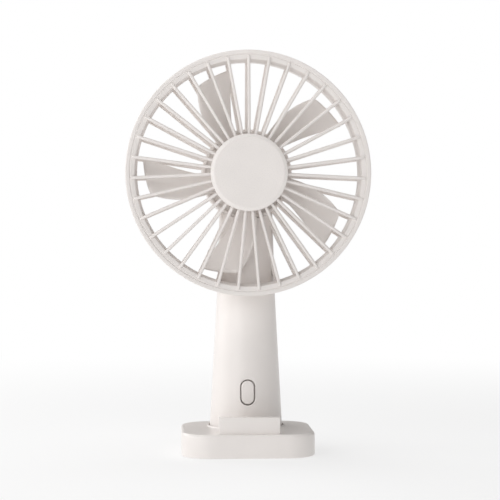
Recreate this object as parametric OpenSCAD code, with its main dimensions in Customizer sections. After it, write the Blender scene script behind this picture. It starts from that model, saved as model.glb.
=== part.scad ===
// Handheld electric fan that stands in a small base.
// The origin is on the table, in the middle of the base. The fan blows towards -Y.
// Places along the fan's own axis are given as a distance forward of the origin,
// so a point that is 17 mm forward has y = -17.

/* [Guards] */
// Outside diameter of both guards
guard_d = 110.5; // [108:0.5:112]
// Height of the fan's axis above the table
axis_z = 127.1; // [126.5:0.1:128]
// How far forward the front rim is
rim_front = 17; // [16.5:0.1:17.5]
// How far forward the joint between the two guards is
guard_joint = 5.8; // [5.6:0.1:6]
// How far forward the rear guard's back edge is
guard_back = -2.2; // [-3:0.1:-2]
// Number of spokes in each guard
spoke_count = 35; // [25:5:35]
// Width of a spoke
spoke_w = 1.45; // [1.2:0.05:1.8]
// Depth of a spoke along the fan's axis
spoke_depth = 2.2; // [1.8:0.1:2.4]

/* [Front hub] */
// Diameter of the round cap
cap_d = 34.5; // [33:0.5:36]
// How far forward the cap's face is
cap_front = 23.2; // [23:0.1:24]
// Thickness of the cap
cap_t = 2.2; // [1.8:0.1:2.2]
// Radius of the rounded edge of the cap
cap_edge = 1.2; // [0.6:0.1:1.5]

/* [Impeller] */
// Number of blades
blade_count = 5; // [3:1:6]
// Radius of the impeller's hub
hub_r = 14.5; // [14:0.1:15]
// Radius at the outermost point of a blade
blade_tip_r = 48; // [44:0.2:48.4]
// How much shorter a blade is at its trailing corner
blade_tip_drop = 3; // [1:0.2:4]
// Thickness in the middle of a blade
blade_t = 1.6; // [1.2:0.1:2]

/* [Motor] */
// Radius of the motor can
motor_r = 12.2; // [12:0.1:12.4]
// Length of the motor can
motor_len = 10.7; // [10.5:0.1:11]
// Radius of the motor shaft
shaft_r = 1; // [0.9:0.05:1.2]
// Radial running clearance of the shaft in its bushes
shaft_gap = 0.03; // [0.02:0.01:0.08]

/* [Handle] */
// Radius at the bottom of the handle
foot_r = 17.2; // [17:0.1:17.4]
// Radius where the handle passes below the guards
waist_r = 13.4; // [13.2:0.1:13.8]
// Radius at the top of the neck
neck_r = 12.2; // [12:0.1:12.6]
// Radius of the round motor cup behind the impeller
cup_r = 20.6; // [20.4:0.1:21]
// Wall thickness of the handle
wall = 1.8; // [1.6:0.1:2]

/* [Button] */
// Width of the opening for the button
button_w = 6.9; // [6:0.1:7.4]
// Height of the opening for the button
button_h = 11.9; // [10:0.1:13]
// Gap around the button
button_gap = 0.6; // [0.3:0.05:0.6]
// How far the button moves when it is pressed
button_travel = 0.4; // [0.2:0.05:0.4]

/* [Stand] */
// Width of the stand
stand_w = 60; // [58:1:66]
// Depth of the stand
stand_d = 54; // [54:1:58]
// Height of the stand's top face above the table
stand_h = 10.8; // [10.5:0.1:11.5]
// Corner radius of the stand
stand_corner = 13.5; // [12:0.5:18]
// Radius of the rounded top edge of the stand
stand_edge = 1.4; // [0.8:0.1:1.4]
// Radial gap between the handle's foot and its socket
socket_gap = 0.2; // [0.15:0.05:0.4]
// Width of the upright lip in front of the handle
lip_w = 27.3; // [24:0.1:32]
// Thickness of the lip
lip_t = 4.5; // [3:0.1:5]
// Height of the lip's top above the table
lip_z = 18.15; // [15:0.05:20]

/* [Hidden] */

$fn = 64;
eps = 0.01;

// Colours
shell_white = [0.93, 0.92, 0.9];
blade_white = [0.88, 0.87, 0.86];
button_grey = [0.86, 0.85, 0.84];
steel = [0.72, 0.73, 0.75];
dark_steel = [0.4, 0.4, 0.42];
brass = [0.8, 0.65, 0.35];
copper = [0.75, 0.42, 0.22];
black = [0.12, 0.12, 0.13];
board_green = [0.1, 0.35, 0.2];
cell_blue = [0.2, 0.35, 0.6];
red = [0.7, 0.12, 0.1];
rubber_grey = [0.35, 0.35, 0.36];

// Guards
guard_r = guard_d / 2;
rim_w = 1.75;
band_w = 4.2;
channel_in = 3.1;
channel_out = 1.7;
spoke_end = guard_r - 2.3;
guard_hub_r = cap_d / 2 - 1;
guard_hub_t = 2.4;
hub_face = cap_front - cap_t;
dome_front = (hub_face - rim_front - 0.6) / pow(guard_r - 4, 2);
spigot_r = 9;
spigot_len = 1.8;
spoke_tip = 1.2;
rim_edge = 0.5;
groove_deep = 0.45;
band_high = 0.2;
band_low = 0.5;
throat_w = 1.1;
throat_front = 13.6;
back_slope = 1.4;
tongue_long = 4;

// Motor cup, on the rear guard and the rear shell
cup_rim = 1.8;
cup_floor = -0.1;
cup_floor_t = 1.8;
cup_wall = 1.8;
cup_back = -20.5;
cup_back_edge = 2.5;
notch_w = 18;
rear_spoke_hub = -2.4;
rear_spoke_ring = 0.2;
dome_rear = (rear_spoke_ring - rear_spoke_hub) / pow(guard_r - 4, 2);

// Impeller
hub_front = 17.2;
hub_back = 3;
hub_wall = 1.5;
boss_r = 3;
blade_root_r = hub_r - 0.9;
blade_lead = 6.2;
blade_trail_root = 16;
blade_trail_tip = 14.6;
blade_camber = 0.9;
blade_rows = 9;
blade_cols = 10;

// Motor, from its front face back
motor_front = cup_floor - cup_floor_t;
motor_back = motor_front - motor_len;
can_wall = 0.6;
can_face = 0.8;
nose_r = 3;
nose_len = 1.2;
bush_r = 2.5;
bush_len = 3.2;
magnet_t = 2.2;
core_r = motor_r - can_wall - magnet_t - 0.4;
core_front = motor_front - 2.3;
core_len = 5;
coil_over = 0.9;
commutator_r = 2.2;
commutator_front = core_front - core_len - 1;
commutator_len = 2.2;
end_cap_t = 1.2;
terminal_x = 6;
terminal_t = 0.4;
terminal_w = 2;
spring_t = 0.3;
motor_screw_x = 8;
motor_screw_len = 2.8;
shaft_front = 15.5;
shaft_back = motor_back - 3;

// Handle
handle_y = 7.4;
foot_z = 3.3;
waist_z = 72;
neck_z = 112;
neck_front = 5;
button_z = 27.75;
button_face = 15.8;
button_seat = 12.9;
flange_t = 0.8;
flange_over = 1.05;
nub_len = 0.9;
nub_r = 1.5;
plunger_r = 1.2;
switch_side = 6;
switch_t = 3.5;
switch_front = 10.2;
board_z = 23.75;
board_t = 1;
port_w = 8.94;
port_h = 3.26;
port_len = 7.35;
port_mouth = 14.25;
cell_r = 9.2;
cell_len = 65;
cell_z = 37;
tab_t = 0.25;
lead_r = 0.55;
foot_cap_t = 2;

// Case screws: shank radius and length, head radius and height
screw_r = 1.1;
screw_len = 10;
head_r = 1.9;
head_h = 1.2;
boss_screw_r = 2.3;
slot_w = 0.5;
slot_deep = 0.6;
low_screw_z = 12;
side_screw_x = 10.6;
side_screw_z = 33.2;
cup_screw_x = 15.4;
low_head = 6;

// Stand
skin = 2;
stand_bottom = 0.3;
plate_t = 1.2;
socket_r = foot_r + socket_gap;
socket_floor = foot_z - 0.05;
socket_wall = 1.8;
socket_floor_t = 1;
collar_w = 0.8;
collar_h = 0.8;
lip_front = stand_d / 2 - 2.8;
stand_boss_r = 2.8;
foot_pad_r = 4.5;
foot_pad_h = 0.8;
stand_screw_at = [[25, 0], [-25, 0], [9, -22.1], [-9, -22.1]];
foot_at = [[20, -17.5], [-20, -17.5], [20, 17.5], [-20, 17.5]];

// Leads: route points as [x, y, z], through the handle beside the cell
near_motor_route = [[6.2, 17.2, 125.5], [6.4, 16.4, 119], [6.2, 14.4, 111],
    [7, 14.5, 102], [7.2, 14.7, 88], [7.5, 15, 72], [7.9, 15.4, 56],
    [8, 15.6, 44], [6.4, 15.6, 36], [6.6, 12.8, 28], [6.6, 12.8, 24.8]];
far_motor_route = [[-6.2, 17.2, 125.5], [-5.5, 17, 119], [-1, 16.6, 114.5],
    [3.5, 16, 111.5], [5, 15.5, 106], [5.5, 15.5, 102], [5.7, 15.7, 88], [6, 16, 72],
    [6.4, 16.4, 56], [6.5, 16.6, 44], [4.9, 16.6, 36], [5.1, 13.6, 29], [5.1, 13.6, 24.8]];
cell_top_route = [[-3, 14.5, 104], [-6, 14.4, 104], [-7, 14.5, 101], [-7.2, 14.7, 88],
    [-7.5, 15, 72], [-7.9, 15.4, 56], [-8, 15.6, 44], [-6.4, 15.6, 36],
    [-6.6, 12.8, 28], [-6.6, 12.8, 24.8]];
cell_bottom_route = [[-5.5, 6, 36], [-6, 7, 34.5], [-7, 9.5, 30], [-7, 9.5, 24.8]];

function handle_r(z) = z < waist_z
    ? foot_r + (waist_r - foot_r) * (z - foot_z) / (waist_z - foot_z)
    : waist_r + (neck_r - waist_r) * (z - waist_z) / (neck_z - waist_z);

function arc(cx, cy, r, a0, a1, n) =
    [for (i = [0:n]) let (a = a0 + (a1 - a0) * i / n) [cx + r * cos(a), cy + r * sin(a)]];

function pill_points(w, h) =
    concat(arc(0, h / 2 - w / 2, w / 2, 0, 180, 12),
        arc(0, w / 2 - h / 2, w / 2, 180, 360, 12));

function rounded_points(w, d, r) =
    concat(arc(w / 2 - r, d / 2 - r, r, 0, 90, 10),
        arc(r - w / 2, d / 2 - r, r, 90, 180, 10),
        arc(r - w / 2, r - d / 2, r, 180, 270, 10),
        arc(w / 2 - r, r - d / 2, r, 270, 360, 10));

function wide_pill_points(w, h) = [for (p = pill_points(h, w)) [p[1], p[0]]];

// Puts a solid that is drawn along +Z on the fan's axis, with +Z pointing forward
module on_axis() {
    translate([0, 0, axis_z]) rotate([90, 0, 0]) children();
}

// A disc on the fan's axis between two forward distances
module axis_disc(r, back, front, x = 0, up = 0) {
    on_axis() translate([x, up, back]) cylinder(r = r, h = front - back);
}

// One solid of revolution on the fan's axis, from [radius, forward] points
module axis_turned(points) {
    on_axis() rotate_extrude() polygon(points);
}

// Copies its children round the fan's axis
module round_axis(count, first = 0) {
    for (i = [0:count - 1])
        translate([0, 0, axis_z]) rotate([0, first + 360 * i / count, 0])
            translate([0, 0, -axis_z]) children();
}

// The inside or outside of the handle as a full round column
module column(z0, z1, grow) {
    corner = z0 < waist_z && z1 > waist_z ? [[waist_r + grow, waist_z]] : [];
    translate([0, handle_y, 0]) rotate_extrude()
        polygon(concat([[0, z0], [handle_r(z0) + grow, z0]], corner,
            [[handle_r(z1) + grow, z1], [0, z1]]));
}

// A round solid along Y, from y0 to y1
module y_disc(r, x, z, y0, y1) {
    translate([x, y1, z]) rotate([90, 0, 0]) cylinder(r = r, h = y1 - y0);
}

// A pill-shaped solid along Y, from y0 to y1
module y_pill(w, h, z, y0, y1) {
    translate([0, y1, z]) rotate([90, 0, 0]) linear_extrude(y1 - y0)
        polygon(pill_points(w, h));
}

// The part of the neck that is cut back behind the guards and the impeller
module neck_cut(depth, grow) {
    axis_disc(guard_r + grow, depth, 30);
}

// A thin round lead that follows a list of points, with eight sides
module lead(route) {
    sides = 8;
    last = len(route) - 1;
    rings = [for (i = [0:last])
        let (ahead = route[min(i + 1, last)] - route[max(i - 1, 0)],
            t = ahead / norm(ahead),
            u0 = cross(t, [1, 0.2, 0]),
            u = u0 / norm(u0),
            v = cross(t, u))
        for (k = [0:sides - 1])
            route[i] + lead_r * (u * cos(360 * k / sides) + v * sin(360 * k / sides))];
    walls = [for (i = [0:last - 1]) for (k = [0:sides - 1])
        let (n = (k + 1) % sides)
        [i * sides + k, i * sides + n, (i + 1) * sides + n, (i + 1) * sides + k]];
    ends = [[for (k = [0:sides - 1]) sides - 1 - k],
        [for (k = [0:sides - 1]) last * sides + k]];
    polyhedron(points = rings, faces = concat(walls, ends), convexity = 6);
}

module pan_screw(length) {
    translate([0, 0, -length]) cylinder(r = screw_r, h = length + eps);
    difference() {
        cylinder(r = head_r, h = head_h);
        cross_slot(head_h);
    }
}

// Cross recess in the top of a screw head
module cross_slot(top) {
    for (a = [0, 90])
        rotate([0, 0, a]) translate([-screw_r, -slot_w / 2, top - slot_deep])
            cube([2 * screw_r, slot_w, 1]);
}

// Guards

// Side view of a front spoke: a shallow dome that turns down at the rim
module front_spoke() {
    steps = 10;
    r0 = guard_hub_r - 1;
    top = [for (i = [0:steps]) let (r = r0 + (spoke_end - spoke_tip - r0) * i / steps)
        [r, hub_face - dome_front * r * r]];
    end = top[steps][1];
    tip = arc(spoke_end - spoke_tip, end - spoke_tip, spoke_tip, 75, 0, 4);
    under = [for (i = [steps:-1:0]) [top[i][0], top[i][1] - spoke_depth]];
    on_axis() translate([0, spoke_w / 2, 0]) rotate([90, 0, 0])
        linear_extrude(spoke_w) polygon(concat(top, tip, [[spoke_end, end - spoke_depth]], under));
}

module front_guard() {
    color(shell_white) union() {
        axis_turned(concat(
            [[guard_r - channel_out, guard_joint + 0.05], [guard_r, guard_joint + 0.05]],
            arc(guard_r - rim_edge, rim_front - rim_edge, rim_edge, 0, 90, 5),
            [[guard_r - rim_w, rim_front], [guard_r - rim_w - 0.3, rim_front - groove_deep],
                [guard_r - rim_w - 0.65, rim_front - band_high],
                [guard_r - band_w + 0.3, rim_front - band_low],
                [guard_r - band_w, rim_front - band_low - 0.3],
                [guard_r - band_w - throat_w, throat_front],
                [guard_r - band_w - throat_w, throat_front - 1],
                [guard_r - band_w, guard_joint + 0.05], [guard_r - channel_in, guard_joint + 0.05],
                [guard_r - channel_in, rim_front - 3.4], [guard_r - channel_out, rim_front - 3.4]]));
        round_axis(spoke_count, 270) front_spoke();
        difference() {
            axis_disc(guard_hub_r, hub_face - guard_hub_t, hub_face);
            axis_disc(spigot_r, hub_face - guard_hub_t - 1, hub_face + 1);
        }
    }
}

module hub_cap() {
    edge = arc(cap_d / 2 - cap_edge, cap_front - cap_edge, cap_edge, 0, 90, 8);
    color(shell_white) axis_turned(concat([[0, hub_face - spigot_len],
        [spigot_r, hub_face - spigot_len], [spigot_r, hub_face], [cap_d / 2, hub_face]],
        edge, [[0, cap_front]]));
}

// Side view of a rear spoke: a shallow dome towards the back
module rear_spoke() {
    steps = 8;
    r0 = cup_r - 1;
    r1 = guard_r - channel_in - 0.3;
    front = [for (i = [0:steps]) let (r = r0 + (r1 - r0) * i / steps)
        [r, rear_spoke_hub + dome_rear * r * r]];
    back = [for (i = [steps:-1:0]) [front[i][0], front[i][1] - spoke_depth]];
    on_axis() translate([0, spoke_w / 2, 0]) rotate([90, 0, 0])
        linear_extrude(spoke_w) polygon(concat(front, back));
}

module rear_guard() {
    color(shell_white) union() {
        difference() {
            union() {
                axis_turned(concat(
                    [[guard_r - band_w, guard_joint - 0.05], [guard_r - channel_in, guard_joint - 0.05],
                        [guard_r - channel_in, guard_back + 1.8],
                        [guard_r - channel_out, guard_back + 1.8],
                        [guard_r - channel_out, guard_joint - 2.5],
                        [guard_r - channel_in + 0.15, guard_joint - 1.5],
                        [guard_r - channel_in + 0.15, guard_joint + tongue_long],
                        [guard_r - channel_out - 0.1, guard_joint + tongue_long],
                        [guard_r - channel_out - 0.1, guard_joint - 0.05],
                        [guard_r, guard_joint - 0.05]],
                    arc(guard_r - 1.5, guard_back + 1.5, 1.5, 360, 270, 5),
                    [[guard_r - band_w + back_slope, guard_back],
                        [guard_r - band_w, guard_back + 1.8]]));
                round_axis(spoke_count, 270) rear_spoke();
            }
            difference() {
                column(60, neck_z, 0);
                neck_cut(neck_front, 0.05);
                axis_disc(cup_r - 0.5, -30, 30);
            }
            axis_disc(cup_r - 0.5, -30, 30);
        }
        difference() {
            axis_disc(cup_r, -handle_y, cup_rim);
            axis_disc(cup_r - cup_wall + 0.2, cup_floor, cup_rim + 1);
            axis_disc(cup_r - cup_wall, -handle_y - 1, cup_floor - cup_floor_t);
            axis_disc(nose_r + 0.1, -handle_y, cup_rim);
            for (s = [-1, 1]) {
                axis_disc(screw_r, -handle_y, cup_rim, s * motor_screw_x);
                axis_disc(screw_r, -handle_y, cup_rim, s * cup_screw_x);
            }
            lead_notch();
        }
    }
}

// Opening in the lower side of the cup, where the motor's leads pass into the handle
module lead_notch() {
    translate([-notch_w / 2, 2.4, axis_z - cup_r - 1]) cube([notch_w, 8, 6]);
}

// Impeller

// Angles of a blade's two edges, clockwise from the top as seen from the front
function trail_angle(r) = 24 + 0.292 * (r - 14) + 0.0087 * pow(r - 14, 2);
function lead_angle(r) = 49.5 + 0.562 * (r - 14) - 0.0048 * pow(r - 14, 2);

// A point on the middle surface of a blade: u from root to tip, s from trailing to leading
function blade_point(u, s) =
    let (tip = blade_tip_r - blade_tip_drop * (1 - s),
        r = blade_root_r + (tip - blade_root_r) * u,
        a = trail_angle(r) + (lead_angle(r) - trail_angle(r)) * s,
        trail = blade_trail_root + (blade_trail_tip - blade_trail_root) * u,
        f = trail + (blade_lead - trail) * s - blade_camber * 4 * s * (1 - s))
    [r * sin(a), -f, axis_z + r * cos(a)];

function blade_normal(u, s) =
    let (d = 0.02,
        along = blade_point(min(u + d, 1), s) - blade_point(max(u - d, 0), s),
        across = blade_point(u, min(s + d, 1)) - blade_point(u, max(s - d, 0)),
        n = cross(along, across))
    n / norm(n);

function blade_skin(side) =
    [for (i = [0:blade_rows]) for (j = [0:blade_cols])
        let (u = i / blade_rows, s = j / blade_cols,
            half = blade_t * (0.3 + 0.2 * sin(180 * s)))
        blade_point(u, s) + side * half * blade_normal(u, s)];

module blade() {
    w = blade_cols + 1;
    base = (blade_rows + 1) * w;
    cells = [for (i = [0:blade_rows - 1]) for (j = [0:blade_cols - 1]) i * w + j];
    top = [for (c = cells) each [[c, c + w + 1, c + 1], [c, c + w, c + w + 1]]];
    bottom = [for (c = cells) each [[base + c, base + c + 1, base + c + w + 1],
        [base + c, base + c + w + 1, base + c + w]]];
    rim = concat([for (j = [0:blade_cols - 1]) j],
        [for (i = [0:blade_rows - 1]) i * w + blade_cols],
        [for (j = [blade_cols:-1:1]) blade_rows * w + j],
        [for (i = [blade_rows:-1:1]) i * w]);
    n = len(rim);
    edge = [for (k = [0:n - 1]) let (a = rim[k], b = rim[(k + 1) % n])
        each [[a, b, base + b], [a, base + b, base + a]]];
    polyhedron(points = concat(blade_skin(-1), blade_skin(1)),
        faces = concat(top, bottom, edge), convexity = 4);
}

module impeller() {
    color(blade_white) union() {
        difference() {
            axis_turned([[0, hub_front], [hub_r - 1.5, hub_front], [hub_r - 0.4, hub_front - 0.4],
                [hub_r, hub_front - 1.5], [hub_r, hub_back], [hub_r - hub_wall, hub_back],
                [hub_r - hub_wall, hub_front - 1.8], [boss_r, hub_front - 1.8],
                [boss_r, hub_back + 3], [0, hub_back + 3]]);
            axis_disc(shaft_r, 0, shaft_front);
        }
        round_axis(blade_count) blade();
    }
}

// Motor

module motor_screws() {
    color(steel) on_axis() for (s = [-1, 1])
        translate([s * motor_screw_x, 0, cup_floor]) pan_screw(motor_screw_len);
}

module motor_can() {
    color(steel) difference() {
        union() {
            axis_disc(motor_r, motor_back, motor_front);
            axis_disc(nose_r, motor_front - eps, motor_front + nose_len);
        }
        axis_disc(motor_r - can_wall, motor_back - 1, motor_front - can_face);
        axis_disc(bush_r, motor_front - 2, motor_front + nose_len + 1);
        for (s = [-1, 1])
            axis_disc(screw_r, motor_front - 2, motor_front + 1, s * motor_screw_x);
    }
}

module magnet_arc() {
    inner = core_r + 0.4;
    outer = motor_r - can_wall;
    on_axis() translate([0, 0, motor_back + 1]) linear_extrude(motor_len - 3)
        polygon(concat(arc(0, 0, outer, 35, 145, 16), arc(0, 0, inner, 145, 35, 16)));
}

module motor_magnets() {
    color(dark_steel) round_axis(2) magnet_arc();
}

module front_bush() {
    color(brass) difference() {
        axis_disc(bush_r, motor_front + nose_len - bush_len, motor_front + nose_len);
        axis_disc(shaft_r + shaft_gap, motor_front - 5, motor_front + 5);
    }
}

module rear_bush() {
    color(brass) difference() {
        axis_disc(bush_r, motor_back - end_cap_t - 1.6, motor_back);
        axis_disc(shaft_r + shaft_gap, motor_back - 5, motor_back + 1);
    }
}

module motor_end_cap() {
    color(black) difference() {
        union() {
            axis_disc(motor_r, motor_back - end_cap_t, motor_back);
            axis_disc(motor_r - can_wall, motor_back - eps, motor_back + 0.8);
            axis_disc(nose_r + 0.6, motor_back - end_cap_t - 1.6, motor_back - eps);
        }
        axis_disc(bush_r, motor_back - 5, motor_back + 0.1);
        axis_disc(4, motor_back, motor_back + 2);
        for (s = [-1, 1])
            on_axis() translate([s * (terminal_x + terminal_t / 2) - 0.25, -terminal_w / 2 - 0.1,
                motor_back - 3]) cube([terminal_t + 0.1, terminal_w + 0.2, 5]);
    }
}

// One brush spring with its solder tab, on the +X side of the motor
module terminal() {
    gap = 0.05;
    inner = commutator_r + gap;
    z0 = commutator_front - commutator_len + 0.1;
    spring_w = 5.2;
    foot = motor_back + 0.8;
    side = -terminal_w / 2;
    on_axis() union() {
        translate([inner, -spring_w / 2, z0]) cube([spring_t, spring_w, 2]);
        translate([inner, side, foot])
            cube([terminal_x + terminal_t - inner, terminal_w, spring_t]);
        translate([inner, side, foot]) cube([spring_t, terminal_w, z0 - motor_back]);
        translate([terminal_x, side, motor_back - 3])
            cube([terminal_t, terminal_w, 3.8 + spring_t]);
    }
}

module motor_terminals() {
    color(brass) round_axis(2) terminal();
}

module motor_shaft() {
    color(steel) axis_disc(shaft_r, shaft_back, shaft_front);
}

// One pole of the armature: an arm with a curved shoe
module pole() {
    linear_extrude(core_len) union() {
        polygon([[-1.3, 2], [1.3, 2], [1.3, core_r - 1], [-1.3, core_r - 1]]);
        polygon(concat(arc(0, 0, core_r, 40, 140, 16), arc(0, 0, core_r - 1.3, 140, 40, 16)));
    }
}

module armature_core() {
    color(dark_steel) on_axis() translate([0, 0, core_front - core_len]) difference() {
        union() {
            cylinder(r = 3, h = core_len);
            for (a = [0, 120, 240]) rotate([0, 0, a]) pole();
        }
        translate([0, 0, -1]) cylinder(r = shaft_r, h = core_len + 2);
    }
}

// One coil, wound round the arm of a pole
module coil() {
    difference() {
        translate([-2.4, 3.1, -coil_over]) cube([4.8, core_r - 4.85, core_len + 2 * coil_over]);
        translate([-1.3, 2, -eps]) cube([2.6, core_r, core_len + 2 * eps]);
    }
}

module armature_windings() {
    color(copper) on_axis() translate([0, 0, core_front - core_len])
        for (a = [0, 120, 240]) rotate([0, 0, a]) coil();
}

module commutator() {
    color(copper) difference() {
        axis_disc(commutator_r, commutator_front - commutator_len, commutator_front);
        axis_disc(shaft_r, motor_back, motor_front);
        for (a = [0, 120, 240])
            on_axis() rotate([0, 0, a]) translate([-0.15, 1.7, motor_back]) cube([0.3, 1, 12]);
    }
}

// Handle

module front_half() {
    translate([-30, handle_y - 60, 0]) cube([60, 60, 140]);
}

module rear_half() {
    translate([-30, handle_y, 0]) cube([60, 60, 140]);
}

module handle_cavity() {
    difference() {
        column(foot_z - 1, neck_z + 2, -wall);
        neck_cut(neck_front - wall, 2);
    }
}

module handle_front_shell() {
    color(shell_white) union() {
        difference() {
            intersection() {
                column(foot_z, neck_z, 0);
                front_half();
            }
            difference() {
                handle_cavity();
                button_pad();
            }
            neck_cut(neck_front, 0.05);
            axis_disc(cup_r, -30, 30);
            y_pill(button_w, button_h, button_z, -20, 0);
        }
        front_boss(0, low_screw_z);
        for (s = [-1, 1]) front_boss(s * side_screw_x, side_screw_z);
        for (x = [-15, 7.5]) board_ledge(x, -9, 7.5, 6);
    }
}

// Flat pad inside the handle that the button's flange rests against
module button_pad() {
    translate([-6, handle_y - 20, button_z - 9]) cube([12, 20 - button_seat, 18]);
}

// A screw boss that fills the handle's front half up to the joint
module front_boss(x, z) {
    difference() {
        intersection() {
            y_disc(boss_screw_r, x, z, handle_y - 20, handle_y);
            column(foot_z, waist_z, -wall + 0.1);
        }
        y_disc(screw_r, x, z, handle_y - 5, handle_y + 1);
    }
}

// A shelf under the circuit board, w wide and d deep from the corner at x, y
module board_ledge(x, y, w, d) {
    intersection() {
        translate([x, handle_y + y, board_z - 1.6]) cube([w, d, 1.6]);
        column(foot_z, waist_z, -wall + 0.1);
    }
}

module rear_boss(x, z) {
    intersection() {
        y_disc(head_r + 1.2, x, z, handle_y, handle_y + 20);
        column(foot_z, waist_z, -wall + 0.1);
    }
}

module rear_boss_hole(x, z) {
    y_disc(screw_r, x, z, handle_y - 1, handle_y + 8);
    y_disc(head_r + 0.2, x, z, handle_y + low_head - eps, handle_y + 20);
}

module handle_rear_shell() {
    color(shell_white) difference() {
        union() {
            difference() {
                union() {
                    intersection() {
                        column(foot_z, neck_z, 0);
                        rear_half();
                    }
                    axis_turned(concat([[0, -handle_y], [cup_r, -handle_y]],
                        arc(cup_r - cup_back_edge, cup_back + cup_back_edge, cup_back_edge,
                            360, 270, 8),
                        [[0, cup_back]]));
                }
                handle_cavity();
                axis_disc(cup_r - cup_wall, cup_back + cup_wall, 0);
            }
            rear_boss(0, low_screw_z);
            for (s = [-1, 1]) {
                rear_boss(s * side_screw_x, side_screw_z);
                axis_disc(boss_screw_r, cup_back + 1, motor_front, s * cup_screw_x);
            }
            board_ledge(-8, 9, 16, 6);
        }
        rear_boss_hole(0, low_screw_z);
        for (s = [-1, 1]) {
            rear_boss_hole(s * side_screw_x, side_screw_z);
            axis_disc(screw_r, cup_floor - screw_len, 0, s * cup_screw_x);
        }
        port_bar(port_w + 0.4, port_h + 0.4, handle_y + 12, handle_y + 20);
    }
}

module foot_cap() {
    color(shell_white) translate([0, handle_y, foot_z])
        cylinder(r1 = foot_r - wall - 0.05, r2 = foot_r - wall - 0.15, h = foot_cap_t);
}

module case_screws() {
    color(steel) {
        for (p = [[0, low_screw_z], [side_screw_x, side_screw_z], [-side_screw_x, side_screw_z]])
            translate([p[0], handle_y + low_head, p[1]]) rotate([-90, 0, 0]) pan_screw(screw_len);
        on_axis() for (s = [-1, 1])
            translate([s * cup_screw_x, 0, cup_floor]) pan_screw(screw_len);
    }
}

module power_button() {
    w = button_w - 2 * button_gap;
    h = button_h - 2 * button_gap;
    seat = handle_y - button_seat + 0.1;
    color(button_grey) union() {
        y_pill(w, h, button_z, handle_y - button_face, seat + eps);
        y_pill(button_w + 2 * flange_over, button_h + 2 * flange_over, button_z,
            seat, seat + flange_t);
        y_disc(nub_r, 0, button_z, seat + flange_t - eps, seat + flange_t + nub_len);
    }
}

module switch_body() {
    color(black) difference() {
        translate([-switch_side / 2, handle_y - switch_front, button_z - switch_side / 2])
            cube([switch_side, switch_t, switch_side]);
        y_disc(plunger_r + 0.1, 0, button_z, handle_y - switch_front - 1,
            handle_y - switch_front + 2);
    }
}

module switch_plunger() {
    front = handle_y - button_seat + 0.1 + flange_t + nub_len;
    color(rubber_grey) y_disc(plunger_r, 0, button_z, front, handle_y - switch_front + 0.8);
}

module circuit_board() {
    color(board_green) intersection() {
        translate([0, handle_y, board_z]) cylinder(r = 12.6, h = board_t);
        translate([-12, handle_y - 11, board_z]) cube([24, 22.6, board_t]);
    }
}

module board_parts() {
    top = board_z + board_t;
    color(black) {
        translate([-9.5, handle_y - 4.5, top]) cube([5, 4, 1.4]);
        translate([4.6, handle_y - 5, top]) cube([5, 5, 2.2]);
        translate([6.2, handle_y + 1.6, top]) cube([1.2, 2, 0.9]);
        translate([-3.4, handle_y - 0.6, top]) cube([1.2, 2, 0.9]);
        translate([switch_side / -2, handle_y - 6.7, top])
            cube([switch_side, 1.2, button_z - top]);
    }
}

// A bar with round sides along Y, on the charging port's axis
module port_bar(w, h, y0, y1) {
    translate([0, y1, board_z + board_t + port_h / 2]) rotate([90, 0, 0])
        linear_extrude(y1 - y0) polygon(wide_pill_points(w, h));
}

module port_shell() {
    mouth = handle_y + port_mouth;
    color(steel) difference() {
        port_bar(port_w, port_h, mouth - port_len, mouth);
        port_bar(port_w - 0.6, port_h - 0.6, mouth - port_len + 1, mouth + 1);
    }
}

module port_tongue() {
    color(black) translate([-3.35, handle_y + port_mouth - port_len + 1,
        board_z + board_t + port_h / 2 - 0.35]) cube([6.7, 5, 0.7]);
}

module battery_cell() {
    color(cell_blue) translate([0, handle_y, cell_z]) union() {
        cylinder(r = cell_r, h = cell_len);
        translate([0, 0, cell_len - eps]) cylinder(r = 3, h = 0.8 + eps);
    }
}

module battery_tabs() {
    color(steel) {
        translate([-6.5, handle_y - 4, cell_z - tab_t]) cube([10, 5, tab_t]);
        translate([-3, handle_y - 2, cell_z + cell_len + 0.8]) cube([6, 9, tab_t]);
    }
}

module battery_leads() {
    color(red) {
        lead(cell_top_route);
        lead(cell_bottom_route);
    }
}

module motor_leads() {
    color(red) {
        lead(near_motor_route);
        lead(far_motor_route);
    }
}

// Stand

module stand_slab(inset, z, h) {
    translate([0, 0, z]) linear_extrude(h)
        polygon(rounded_points(stand_w - 2 * inset, stand_d - 2 * inset, stand_corner - inset));
}

// The stand's outside, with its rounded top edge
module stand_outside() {
    steps = 4;
    hull() {
        stand_slab(0, stand_bottom, stand_h - stand_edge - stand_bottom);
        for (i = [1:steps]) {
            a = 90 * i / steps;
            stand_slab(stand_edge * (1 - cos(a)), stand_h - stand_edge, stand_edge * sin(a));
        }
    }
}

module stand_body() {
    color(shell_white) difference() {
        union() {
            difference() {
                stand_outside();
                stand_slab(skin, stand_bottom - 1, stand_h - stand_bottom - skin + 1);
            }
            translate([0, handle_y, socket_floor - socket_floor_t])
                cylinder(r = socket_r + socket_wall, h = stand_h - 0.5 - socket_floor + socket_floor_t);
            translate([0, handle_y, 0]) rotate_extrude()
                polygon([[socket_r - 1, stand_h - 1], [socket_r + collar_w, stand_h - 1],
                    [socket_r + collar_w, stand_h], [socket_r + 0.25, stand_h + 0.25],
                    [socket_r + 0.1, stand_h + collar_h], [socket_r - 1, stand_h + collar_h]]);
            for (p = stand_screw_at)
                translate([p[0], p[1], stand_bottom + plate_t])
                    cylinder(r = stand_boss_r, h = stand_h - 1 - stand_bottom - plate_t);
            translate([-lip_w / 2, -lip_front, stand_h - 1])
                cube([lip_w, lip_t, lip_z - stand_h + 1]);
        }
        translate([0, handle_y, socket_floor]) cylinder(r = socket_r, h = 20);
        for (p = stand_screw_at)
            translate([p[0], p[1], 0]) cylinder(r = screw_r, h = 8.2);
    }
}

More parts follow.
